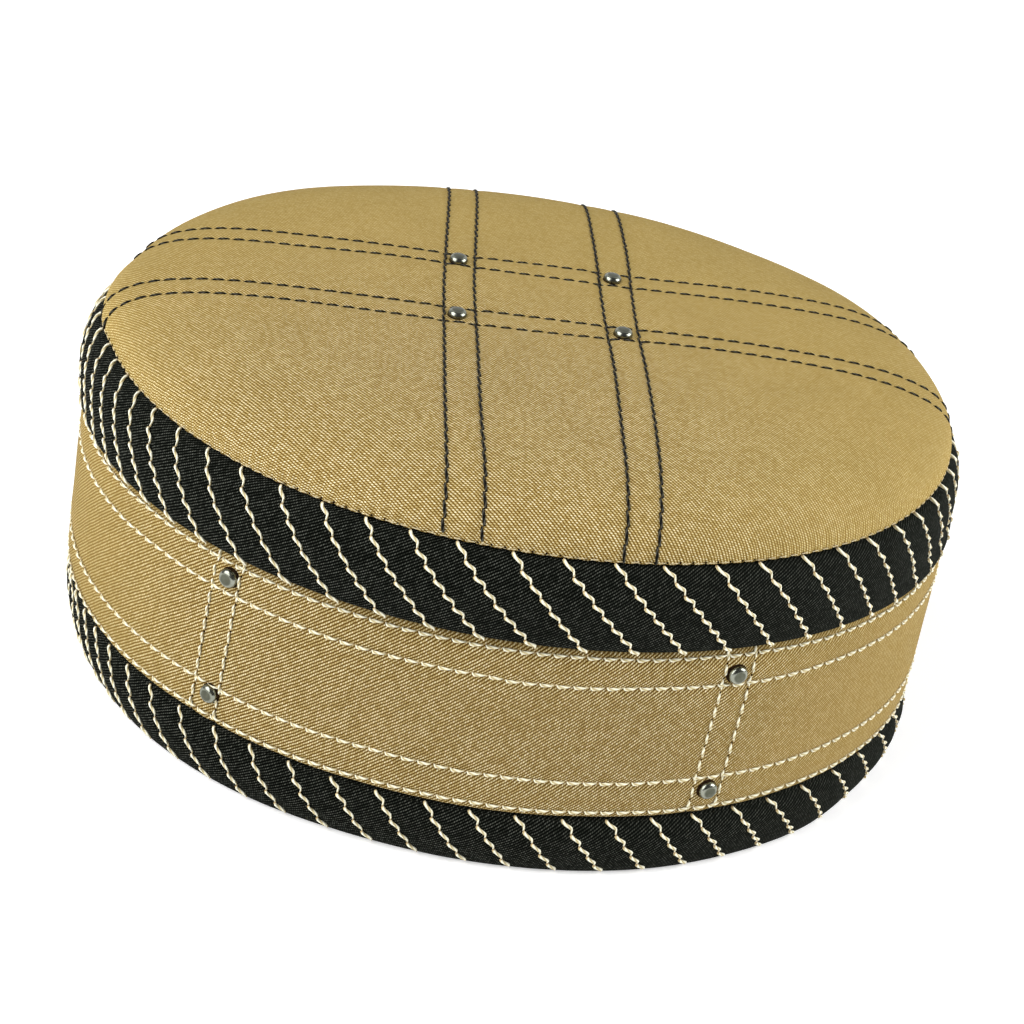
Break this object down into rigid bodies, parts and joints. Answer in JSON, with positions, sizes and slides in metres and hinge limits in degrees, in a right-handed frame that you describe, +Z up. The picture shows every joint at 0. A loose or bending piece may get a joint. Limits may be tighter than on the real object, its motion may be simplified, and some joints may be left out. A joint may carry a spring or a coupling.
{
  "type": "kufi cap",
  "caption": "Oval flat-topped kufi with a padded crown, puffed black bands above and below a tall side band, and small domed metal studs.",
  "frame": {"origin": "centre of the rim, on the surface that the cap stands on", "axes": "+Z up through the crown, X along the long way of the head, the side shown as the front faces -Y"},
  "size_m": [0.2032, 0.1704, 0.0907],
  "materials": {
    "tan_twill": "khaki cotton twill with fine diagonal ribs",
    "black_twill": "black cotton twill cut on the bias",
    "cream_thread": "cream topstitching thread with a soft sheen",
    "black_thread": "black topstitching thread",
    "dark_metal": "polished gunmetal"
  },
  "bodies": {
    "root": {"crown_top": "tan_twill", "upper_band": "black_twill", "side_band": "tan_twill", "lower_band": "black_twill", "crown_stud_1": "dark_metal", "crown_stud_2": "dark_metal", "crown_stud_3": "dark_metal", "crown_stud_4": "dark_metal", "side_stud_upper_1": "dark_metal", "side_stud_lower_1": "dark_metal", "side_stud_upper_2": "dark_metal", "side_stud_lower_2": "dark_metal", "side_stud_upper_3": "dark_metal", "side_stud_lower_3": "dark_metal", "side_stud_upper_4": "dark_metal", "side_stud_lower_4": "dark_metal"}
  },
  "joints": []
}
